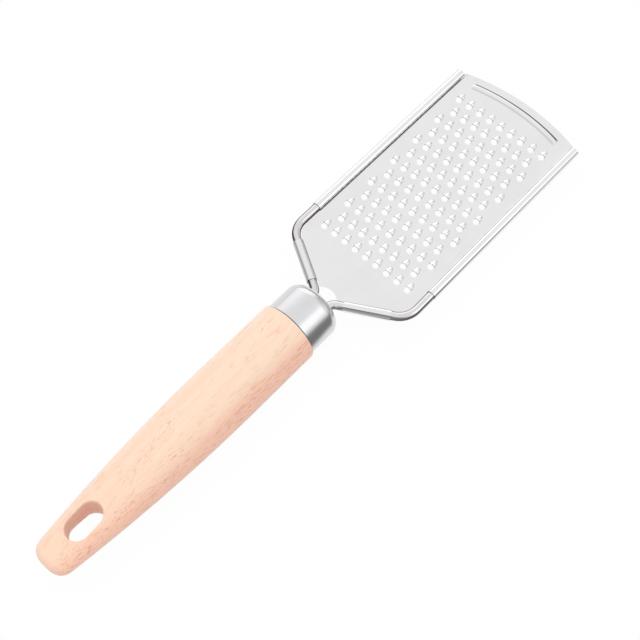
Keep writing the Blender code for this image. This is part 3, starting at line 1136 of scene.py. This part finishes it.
@dataclass
class BeechHandle:
    """Turned beech grip, flattened towards a rounded tail with a hanging slot through it."""

    tail_half_width: float = 0.0070
    tail_half_thickness: float = 0.0032
    taper: float = 0.0900
    width_power: float = 2.0
    thickness_power: float = 1.5
    tail_rounding: float = 0.0055
    tail_edge_rounding: float = 0.0035
    tail_squareness: float = 2.7
    slot_length: float = 0.0146
    slot_width: float = 0.0086
    slot_from_tail: float = 0.0184
    tenon_end: float = 0.0108
    sides: int = 96
    tail_stations: int = 14
    grip_stations: int = 46
    grain: float = 0.00038
    softening: int = 6
    softness: float = 0.5
    smooth_below: float = 60.0

    @property
    def length(self) -> float:
        """Length of the grip."""
        return DATUM.shoulder - DATUM.tail

    def section(self, distance: float) -> Tuple[float, float, float]:
        """Cross-section at a distance from the tail's tip.

        Args:
            distance: Metres from the tip.

        Returns:
            Half width, half thickness and squareness, where 2 is an oval.
        """
        taper = max(1.0 - distance / self.taper, 0.0)
        full = DATUM.handle_radius
        width = full - (full - self.tail_half_width) * taper ** self.width_power
        thickness = full - (full - self.tail_half_thickness) * taper ** self.thickness_power
        squareness = 2.0 + (self.tail_squareness - 2.0) * taper
        return (width * self.round_off(distance, self.tail_rounding),
                thickness * self.round_off(distance, self.tail_edge_rounding), squareness)

    def round_off(self, distance: float, length: float) -> float:
        """Share of the full size at a distance from a rounded end of this length."""
        inward = max(1.0 - distance / length, 0.0)
        return (1.0 - inward ** self.tail_squareness) ** (1.0 / self.tail_squareness)

    def stations(self) -> List[float]:
        """Distances from the tail's tip at which the grip has a ring.

        Returns:
            The distances, close together at the tip.
        """
        end = [self.tail_rounding * (1.0 - math.cos(math.pi / 2 * i / self.tail_stations))
               for i in range(1, self.tail_stations + 1)]
        rest = self.length - self.tail_rounding
        step = rest / self.grip_stations
        return end + [self.tail_rounding + step * i for i in range(1, self.grip_stations + 1)]

    def turned_body(self) -> Shape:
        """Turn the grip: a cylinder ringed at every station, each ring set to its section.

        Returns:
            The grip, in object mode.
        """
        tip = DATUM.tail
        first = self.stations()[0]
        bpy.ops.object.select_all(action="DESELECT")
        bpy.ops.mesh.primitive_cylinder_add(
            vertices=self.sides, radius=1.0, depth=self.length - first,
            location=(tip + (self.length + first) / 2, 0.0, 0.0), rotation=(0.0, math.pi / 2, 0.0))
        body = Shape("beech_handle")
        body.edit()
        for distance in self.stations()[1:-1]:
            bpy.ops.mesh.select_all(action="SELECT")
            bpy.ops.mesh.bisect(plane_co=(tip + distance, 0.0, 0.0), plane_no=ALONG)
        body.done()
        for vert in body.item.data.vertices:
            width, thickness, squareness = self.section(vert.co.x - tip)
            across = math.copysign(abs(vert.co.y) ** (2 / squareness), vert.co.y)
            up = math.copysign(abs(vert.co.z) ** (2 / squareness), vert.co.z)
            vert.co = (vert.co.x, width * across, DATUM.level + thickness * up)
        return body

    def hanging_slot(self) -> Shape:
        """Upright cutter of the hanging slot.

        Returns:
            The cutter, from under the tail to over the handle.
        """
        radius = self.slot_width / 2
        start = ALONG * (DATUM.tail + self.slot_from_tail) - UP * radius
        return Shape.slot_bar("hanging_slot", start, radius, ALONG * (self.slot_length / 2 - radius),
                              UP * (2 * DATUM.handle_radius + self.slot_width))

    def mortise(self, rod: WireFrame) -> Shape:
        """Cutter of the flat mortise that the wire's two legs sit in.

        Args:
            rod: The wire.

        Returns:
            The cutter, from the mortise's bottom out past the tenon.
        """
        radius = rod.radius + SEAT_GAP + self.grain / 2
        start = ALONG * (DATUM.shoulder - rod.tang_depth - SEAT_GAP) + UP * DATUM.level
        return Shape.slot_bar("mortise", start, radius, ACROSS * rod.leg_spacing / 2,
                              ALONG * (rod.tang_depth + 2 * self.tenon_end))

    def tenon(self, cup: Ferrule) -> Shape:
        """Turned tenon that the ferrule covers.

        Args:
            cup: The ferrule.

        Returns:
            The tenon.
        """
        radius = DATUM.ferrule_radius - cup.wall - SEAT_GAP
        start = DATUM.shoulder - SEAT_GAP
        depth = self.tenon_end + SEAT_GAP
        bpy.ops.object.select_all(action="DESELECT")
        bpy.ops.mesh.primitive_cylinder_add(vertices=self.sides, radius=radius, depth=depth,
                                            location=(start + depth / 2, 0.0, DATUM.level),
                                            rotation=(0.0, math.pi / 2, 0.0))
        return Shape("tenon")

    def build(self, rod: WireFrame, cup: Ferrule, finish: bpy.types.Material) -> bpy.types.Object:
        """Turn the handle, cut its slot and mortise and soften its edges.

        Args:
            rod: The wire whose legs the mortise holds.
            cup: The ferrule that the tenon fits.
            finish: The wood.

        Returns:
            The finished piece.
        """
        body = self.turned_body()
        body.unite(self.tenon(cup))
        body.cut(self.hanging_slot())
        body.cut(self.mortise(rod))
        body.modify("REMESH", mode="VOXEL", voxel_size=self.grain, adaptivity=0.0)
        body.modify("SMOOTH", factor=self.softness, iterations=self.softening)
        body.shade(self.smooth_below)
        return body.finish(finish, Slot.BEECH, "handle")


@dataclass
class GratingPlate:
    """One stamped sheet: a flat with formed teeth and a bead, its edges rolled round the wire."""

    # Rolled edges.
    roll_wrap: float = math.radians(337.5)
    roll_steps: int = 30
    side_roll_start: float = 0.0128
    splay_roll_start: float = 0.0060
    splay_roll_stop: float = 0.0030
    # Far edge, neck cut and the corners at the shoulders.
    far_corner_reach: float = 0.0015
    far_edge_radius: float = 0.0910
    far_steps: int = 24
    neck_cut_half_width: float = 0.0042
    neck_cut_depth: float = 0.0017
    neck_steps: int = 8
    corner_steps: int = 12
    # Bead.
    bead_setback: float = 0.0044
    bead_width: float = 0.0030
    bead_slope: float = math.radians(32.0)
    bead_fillet: float = 0.0006
    bead_side_margin: float = 0.0052
    bead_end_squareness: float = 12.0
    bead_steps: int = 56
    bead_sides: int = 12
    # Teeth.
    tooth_pitch: float = 0.00507
    row_pitch: float = 0.00649
    first_row_setback: float = 0.0153
    rows: int = 13
    teeth_in_long_row: int = 9
    hole_radius: float = 0.00130
    mouth_angle: float = math.radians(67.5)
    mouth_height: float = 0.0011
    tongue_length: float = 0.0029
    tongue_fullness: float = 1.7
    tongue_stations: Tuple[float, ...] = (0.25, 0.5, 0.72, 0.88, 0.97)
    tongue_sides: int = 16
    hole_sides: int = 32
    hole_dip: float = 0.00003
    # Flat margin round every tooth and along the bead.
    border: float = 0.00025
    smooth_below: float = 40.0

    @property
    def mouth_half(self) -> float:
        """Half the width of a tongue's mouth."""
        return self.hole_radius * math.sin(self.mouth_angle)

    @property
    def mouth_setback(self) -> float:
        """Distance of a tongue's mouth from the centre of its hole."""
        return self.hole_radius * math.cos(self.mouth_angle)

    def outline(self, rod: WireFrame) -> Tuple[Shape, List[Run]]:
        """Draw one side of the flat's outline along the creases, and mirror it.

        Args:
            rod: The wire that the edges go round.

        Returns:
            The closed outline, in object mode, and the two runs of its drawn side that are rolled.
        """
        level = UP * DATUM.level
        splay = rod.splay_direction()
        inward = Vector((splay.y, -splay.x, 0.0)) * rod.roll_radius
        shoulder = ALONG * rod.shoulder_x + ACROSS * rod.side_y + level
        splay_start = shoulder - splay * self.splay_roll_start + inward
        neck = splay_start - splay * ((splay_start.y - self.neck_cut_half_width) / splay.y)
        splay_end = neck + splay * self.splay_roll_stop
        half, depth = self.neck_cut_half_width, self.neck_cut_depth
        cut_radius = (half ** 2 + depth ** 2) / (2 * depth)
        cut_centre = ALONG * (neck.x + depth - cut_radius) + level
        middle = cut_centre + ALONG * cut_radius
        crease = rod.side_y - rod.roll_radius
        corner_x = rod.shoulder_x + rod.roll_radius * math.tan(rod.splay / 2)
        corner = Vector((corner_x, crease, DATUM.level))
        corner_radius = rod.shoulder_bend - rod.roll_radius
        bend_start, bend_centre = rod.bend_ends(corner, corner_radius, splay, ALONG)
        bend_end = corner + ALONG * (corner - bend_start).length
        side_start = Vector((rod.shoulder_x + self.side_roll_start, crease, DATUM.level))
        side_end = Vector((self.roll_end(rod), crease, DATUM.level))
        far_corner = side_end + ALONG * self.far_corner_reach
        sweep = math.asin(crease / self.far_edge_radius)
        sheet = Shape.vertex("formed_plate", middle)
        sheet.turn(cut_centre, UP, math.asin(half / cut_radius), self.neck_steps)
        sheet.pull_to(neck, splay_end)
        sheet.pull_to(splay_end, splay_start)
        sheet.pull_to(splay_start, bend_start)
        sheet.turn(bend_centre, -UP, rod.splay, self.corner_steps)
        sheet.pull_to(bend_end, side_start)
        sheet.pull_to(side_start, side_end)
        sheet.pull_to(side_end, far_corner)
        sheet.turn(self.far_centre(), -UP, sweep, self.far_steps)
        sheet.merge()
        sheet.done()
        sheet.modify("MIRROR", use_axis=(False, True, False), merge_threshold=SAME_POINT)
        return sheet, [(splay_end, splay_start), (side_start, side_end)]

    def roll_end(self, rod: WireFrame) -> float:
        """Far end of the side rolls, a wire's radius past the wire's own end."""
        return DATUM.roll_end + rod.radius

    def far_centre(self) -> Vector:
        """Centre of the arched far edge and of the bead."""
        return ALONG * (DATUM.far_edge - self.far_edge_radius) + UP * DATUM.level

    def tongue(self) -> Shape:
        """Raise one tongue: a half cone that is open at its mouth, at the origin of the flat.

        Returns:
            The tongue, in object mode.
        """
        level = UP * DATUM.level
        tongue = Shape.ring("tooth", level, self.mouth_half, self.tongue_sides, (0.0, math.pi / 2, 0.0))
        tongue.pick(lambda place: place.z < DATUM.level - SAME_POINT)
        bpy.ops.mesh.delete(type="VERT")
        bpy.ops.mesh.select_all(action="SELECT")
        tongue.resize((1.0, 1.0, self.mouth_height / self.mouth_half), level)
        reached, share = 0.0, 1.0
        for along in self.tongue_stations:
            size = self.tongue_share(along)
            tongue.pull(ALONG * self.tongue_length * (along - reached))
            tongue.resize((1.0, size / share, size / share), ALONG * self.tongue_length * along + level)
            reached, share = along, size
        bpy.ops.mesh.extrude_edges_move()
        tongue.resize((0.0, 0.0, 0.0), ALONG * self.tongue_length + level)
        tongue.done()
        return tongue

    def hole(self, centre: Vector) -> Shape:
        """Draw the part of a tooth's hole that lies before its mouth.

        Args:
            centre: The hole's centre.

        Returns:
            The hole's edge, in object mode.
        """
        hole = Shape.ring("hole", centre, self.hole_radius, self.hole_sides, (0.0, 0.0, 0.0))
        hole.pick(lambda place: place.x > SAME_POINT)
        bpy.ops.mesh.delete(type="VERT")
        hole.done()
        return hole

    def tooth(self) -> Shape:
        """Form one tooth at the origin of the flat: a round hole, and a tongue raised past it.

        Returns:
            The tooth, in object mode, with its outer border grouped.
        """
        level = UP * DATUM.level
        centre = level - ALONG * self.mouth_setback
        tooth = self.tongue()
        tooth.join([self.hole(centre)])
        tooth.edit()
        tooth.merge()
        tooth.pick(lambda place: abs(place.z - DATUM.level) < SAME_POINT)
        bpy.ops.mesh.extrude_edges_move()
        middle = ALONG * (self.tongue_length - self.hole_radius) / 2 + level
        half_length = (self.tongue_length + self.hole_radius + self.mouth_setback) / 2
        tooth.resize((1.0 + self.border / half_length, 1.0 + self.border / self.mouth_half, 1.0), middle)
        tooth.group("border")
        bpy.ops.mesh.mark_sharp()
        reach = self.hole_radius + SAME_POINT
        tooth.pick(lambda place: (place - centre).length < reach and place.x < -SAME_POINT)
        bpy.ops.transform.translate(value=-UP * self.hole_dip)
        tooth.done()
        return tooth

    def tongue_share(self, along: float) -> float:
        """Size of the tongue at a share of its length, as a share of its mouth."""
        return (1.0 - along ** self.tongue_fullness) ** (1.0 / self.tongue_fullness)

    def tooth_steps(self) -> List[Vector]:
        """Place of every tooth's mouth: long rows, and between them rows of one less, half a pitch over.

        Returns:
            The steps from the origin of the flat.
        """
        steps = []
        for row in range(self.rows):
            count = self.teeth_in_long_row - row % 2
            x = DATUM.far_edge - self.first_row_setback - row * self.row_pitch
            for column in range(count):
                y = (column - (count - 1) / 2) * self.tooth_pitch
                steps.append(ALONG * x + ACROSS * y)
        return steps

    def bead(self, crease: float) -> Shape:
        """Press the crowned bead that follows the far edge.

        Args:
            crease: Distance of the rolled edges' creases from the middle.

        Returns:
            The bead, in object mode, with its outer border grouped.
        """
        centre = self.far_centre()
        radius = self.far_edge_radius - self.bead_setback
        sweep = math.asin((crease - self.bead_side_margin) / radius)
        foot = self.bead_width / 2
        radii = foot / math.sin(self.bead_slope)
        crown = radii - self.bead_fillet
        top = centre + ALONG * radius + UP * (radii * (1.0 - math.cos(self.bead_slope)) - crown)
        inner = centre + ALONG * (radius - foot)
        outer = centre + ALONG * (radius + foot)
        edge = inner - ALONG * self.border
        bead = Shape.vertex("bead", edge)
        bead.pull_to(edge, inner)
        bead.turn(inner + UP * self.bead_fillet, -ACROSS, self.bead_slope, self.bead_sides // 2)
        bead.turn(top, ACROSS, 2 * self.bead_slope, self.bead_sides)
        bead.turn(outer + UP * self.bead_fillet, -ACROSS, self.bead_slope, self.bead_sides // 2)
        bead.pull_to(outer, outer + ALONG * self.border)
        bead.merge()
        bpy.ops.mesh.select_all(action="SELECT")
        bpy.ops.transform.rotate(value=sweep, orient_axis="Z", center_override=centre)
        bead.done()
        # The profile now stands at one end of the arc, and it is spun towards the other.
        side = 1.0 if min(vert.co.y for vert in bead.item.data.vertices) < 0 else -1.0
        bead.edit()
        bpy.ops.mesh.select_all(action="SELECT")
        bead.turn(centre, UP * side, 2 * sweep, self.bead_steps)
        bead.merge()
        bead.done()
        self.taper_bead(bead, centre, radius, sweep)
        bead.edit()
        bead.merge()
        bpy.ops.mesh.select_all(action="DESELECT")
        bpy.ops.mesh.select_non_manifold()
        bead.group("border")
        bead.done()
        return bead

    def taper_bead(self, bead: Shape, centre: Vector, radius: float, sweep: float) -> None:
        """Draw the bead's rings in towards its two rounded ends.

        Args:
            bead: The bead.
            centre: Centre of its arc.
            radius: Radius of its arc.
            sweep: Half the angle that it spans.
        """
        foot = self.bead_width / 2
        for vert in bead.item.data.vertices:
            offset = vert.co - centre
            angle = math.atan2(offset.y, offset.x)
            share = min(abs(angle / sweep), 1.0)
            fullness = math.sqrt(1.0 - share ** self.bead_end_squareness)
            distance = math.hypot(offset.x, offset.y) - radius
            distance += max(-foot, min(foot, distance)) * (fullness - 1.0)
            vert.co = centre + Vector((math.cos(angle), math.sin(angle), 0.0)) * (radius + distance)
            vert.co.z = DATUM.level + offset.z * fullness

    def build(self, rod: WireFrame, finish: bpy.types.Material) -> bpy.types.Object:
        """Stamp, form and roll the sheet.

        Args:
            rod: The wire that the edges go round.
            finish: The sheet's material.

        Returns:
            The finished piece.
        """
        sheet, runs = self.outline(rod)
        sheet.edit()
        bpy.ops.mesh.select_all(action="SELECT")
        sheet.group("border")
        sheet.done()
        tooth = self.tooth()
        formed = [tooth.copy_to(step) for step in self.tooth_steps()]
        tooth.discard()
        sheet.join(formed + [self.bead(rod.side_y - rod.roll_radius)])
        sheet.edit()
        sheet.pick_group("border")
        bpy.ops.mesh.fill(use_beauty=True)
        self.roll(sheet, rod, runs)
        sheet.merge()
        sheet.face_outward()
        sheet.done()
        sheet.modify("SOLIDIFY", thickness=rod.sheet, offset=0.0)
        sheet.shade(self.smooth_below)
        return sheet.finish(finish, Slot.SHEET, "grating_plate")

    def roll(self, sheet: Shape, rod: WireFrame, runs: List[Run]) -> None:
        """Curl the four creased edges down, out and over the wire.

        Args:
            sheet: The sheet, in edit mode.
            rod: The wire that the edges go round.
            runs: Start and end of the rolled runs on the +Y side.
        """
        for start, end in runs:
            for side in (1.0, -1.0):
                near = Vector((start.x, side * start.y, start.z))
                far = Vector((end.x, side * end.y, end.z))
                along = (far - near).normalized() * side
                outward = Vector((-along.y, along.x, 0.0))
                sheet.pick_near(near, far)
                sheet.turn(near + outward * rod.roll_radius, along, self.roll_wrap, self.roll_steps)


@dataclass(frozen=True)
class Zone:
    """A soft-edged part of the studio that the steel mirrors, at a level where 1 is plain white.

    It is full where a direction's share along aim passes full, and gone where it is under gone.
    Above its ceiling, given as the heights where it starts to fade and is gone, it isn't there.
    """

    aim: Triple
    gone: float
    full: float
    level: float
    ceiling: Pair = (1.5, 2.0)

    def lay_over(self, under: Number, graph: Graph, direction: Socket, height: Field) -> Field:
        """Lay the zone over what is there already.

        Args:
            under: The level of light without the zone.
            graph: The graph that the nodes go into.
            direction: The direction that is looked in.
            height: The direction's upward share.

        Returns:
            The level with the zone.
        """
        along = graph.node("ShaderNodeVectorMath", {"operation": "DOT_PRODUCT"},
                           {0: direction, 1: self.aim})
        share = Field(graph, along.outputs["Value"]).ramp(self.gone, self.full)
        share = share * (1.0 - height.ramp(*self.ceiling))
        return share * self.level + (1.0 - share) * under


@dataclass
class Studio:
    """Plain pale floor, soft light and a camera at the photograph's angle."""

    # Camera.
    lens: float = 69.75
    nearest: float = 0.01
    camera_place: Triple = (-0.143985, -0.147498, 0.404437)
    camera_turn: Triple = (27.387, 0.911, -47.347)
    # Floor, which the steel mirrors darker past the tool's right side and its far edge.
    floor_size: float = 12.0
    floor_colour: Colour = (0.93, 0.93, 0.93)
    floor_glow: float = 0.965
    floor_edge: Pair = (0.018, 0.030)
    floor_edge_slant: float = 0.60
    floor_end: Pair = (0.150, 0.190)
    far_loss: float = 0.78
    handle_end: Pair = (-0.015, -0.003)
    handle_share: float = 0.62
    # Even light, and the large soft lamp.
    fill: float = 0.79
    key_place: Triple = (-0.05, 0.18, 1.30)
    key_size: float = 1.0
    key_power: float = 5.2
    # What the steel mirrors.
    zones: Tuple[Zone, ...] = (
        # All round the tail's side and below it: grey.
        Zone((-0.89, 0.0, -0.45), -0.18, 0.45, 0.35),
        # High over the right side and past the far left corner: two bright lamps.
        Zone((0.295, -0.731, 0.616), 0.940, 0.985, 1.50),
        Zone((0.72, 0.64, 0.27), 0.80, 0.95, 1.40),
        # Over the far edge: a grey wall.
        Zone((0.91, -0.13, 0.40), 0.930, 0.985, 0.68),
        # Nearly overhead: plain white again, over the tail side's grey.
        Zone((-0.366, -0.211, 0.906), 0.940, 0.972, 1.00),
        # Low on the right side, at the far right corner and past the far edge: dark.
        Zone((0.035, -0.999, 0.0), 0.906, 0.9455, 0.22, (0.12, 0.24)),
        Zone((0.034, -0.978, 0.208), 0.906, 0.9455, 0.22, (0.12, 0.24)),
        Zone((0.50, -0.866, 0.0), 0.930, 0.980, 0.16, (0.05, 0.14)),
        Zone((0.956, 0.292, 0.0), 0.905, 0.975, 0.14, (0.06, 0.16)),
    )

    def camera(self) -> None:
        """Set the camera where the photograph was taken from."""
        lens = bpy.data.cameras.new("camera")
        lens.lens = self.lens
        lens.clip_start = self.nearest
        item = bpy.data.objects.new("camera", lens)
        item.location = self.camera_place
        item.rotation_euler = [math.radians(angle) for angle in self.camera_turn]
        bpy.context.collection.objects.link(item)
        bpy.context.scene.camera = item

    def floor(self) -> None:
        """Lay a pale floor that takes the object's shadow; the steel mirrors its far parts darker.

        The far part on the tool's right is less dark along the handle.
        """
        bpy.ops.object.select_all(action="DESELECT")
        bpy.ops.mesh.primitive_plane_add(size=self.floor_size)
        floor = bpy.context.active_object
        floor.name = "floor"
        material, graph = new_material("floor")
        x, y, _ = graph.split(graph.place())
        beyond = (-y - x * self.floor_edge_slant).ramp(*self.floor_edge)
        beyond = beyond * x.ramp(*self.handle_end).between(self.handle_share, 1.0)
        near = (1.0 - beyond) * (1.0 - x.ramp(*self.floor_end))
        mirrored = 1.0 - (1.0 - near) * self.far_loss
        paths = graph.node("ShaderNodeLightPath")
        camera, glossy, through = (Field(graph, paths.outputs[kind.value]) for kind in Rays)
        matt = graph.node("ShaderNodeBsdfDiffuse", None, {"Color": (*self.floor_colour, 1.0)})
        strength = camera + through + glossy * mirrored
        glow = graph.node("ShaderNodeEmission", None, {"Color": (*WHITE, 1.0), "Strength": strength})
        share = camera * self.floor_glow + glossy + through
        both = graph.node("ShaderNodeMixShader", None, {0: share, 1: matt.outputs[0], 2: glow.outputs[0]})
        graph.output("ShaderNodeOutputMaterial", both)
        floor.data.materials.append(material)

    def surroundings(self) -> None:
        """Light the object evenly, with bright and dark parts of the studio for the steel to mirror."""
        world = bpy.data.worlds.new("studio")
        world.use_nodes = True
        bpy.context.scene.world = world
        graph = Graph(world.node_tree)
        direction = graph.node("ShaderNodeTexCoord").outputs["Generated"]
        height = graph.split(direction)[2]
        mirrored = 1.0
        for zone in self.zones:
            mirrored = zone.lay_over(mirrored, graph, direction, height)
        paths = graph.node("ShaderNodeLightPath")
        camera, glossy, _ = (Field(graph, paths.outputs[kind.value]) for kind in Rays)
        level = self.fill + glossy * (mirrored - self.fill) + camera * (1.0 - self.fill)
        background = graph.node("ShaderNodeBackground", None, {"Color": (*WHITE, 1.0), "Strength": level})
        graph.output("ShaderNodeOutputWorld", background)

    def key(self) -> None:
        """Hang the large soft lamp over the left side."""
        lamp = bpy.data.lights.new("key", "AREA")
        lamp.shape = "SQUARE"
        lamp.size = self.key_size
        lamp.energy = self.key_power
        item = bpy.data.objects.new("key", lamp)
        item.location = self.key_place
        item.rotation_mode = "QUATERNION"
        item.rotation_quaternion = (-Vector(self.key_place)).to_track_quat("-Z", "Y")
        item.visible_glossy = False
        bpy.context.collection.objects.link(item)

    def build(self) -> None:
        """Set the whole stage."""
        self.camera()
        self.floor()
        self.surroundings()
        self.key()
        bpy.context.scene.view_settings.view_transform = "Standard"


def main() -> None:
    """Build every piece, dress it and set the stage."""
    logging.basicConfig(level=logging.INFO, format="%(name)s: %(message)s")
    Studio().build()
    rod, cup, grip, plate = WireFrame(), Ferrule(), BeechHandle(), GratingPlate()
    pieces = (
        rod.build(WireFinish(rod=rod).build()),
        cup.build(rod, SteelFinish().build()),
        grip.build(rod, cup, BeechFinish(grip=grip).build()),
        plate.build(rod, SheetFinish(rod=rod, plate=plate).build()),
    )
    for piece in pieces:
        LOG.info("%s: %d faces", piece.name, len(piece.data.polygons))


if __name__ == "__main__":
    main()
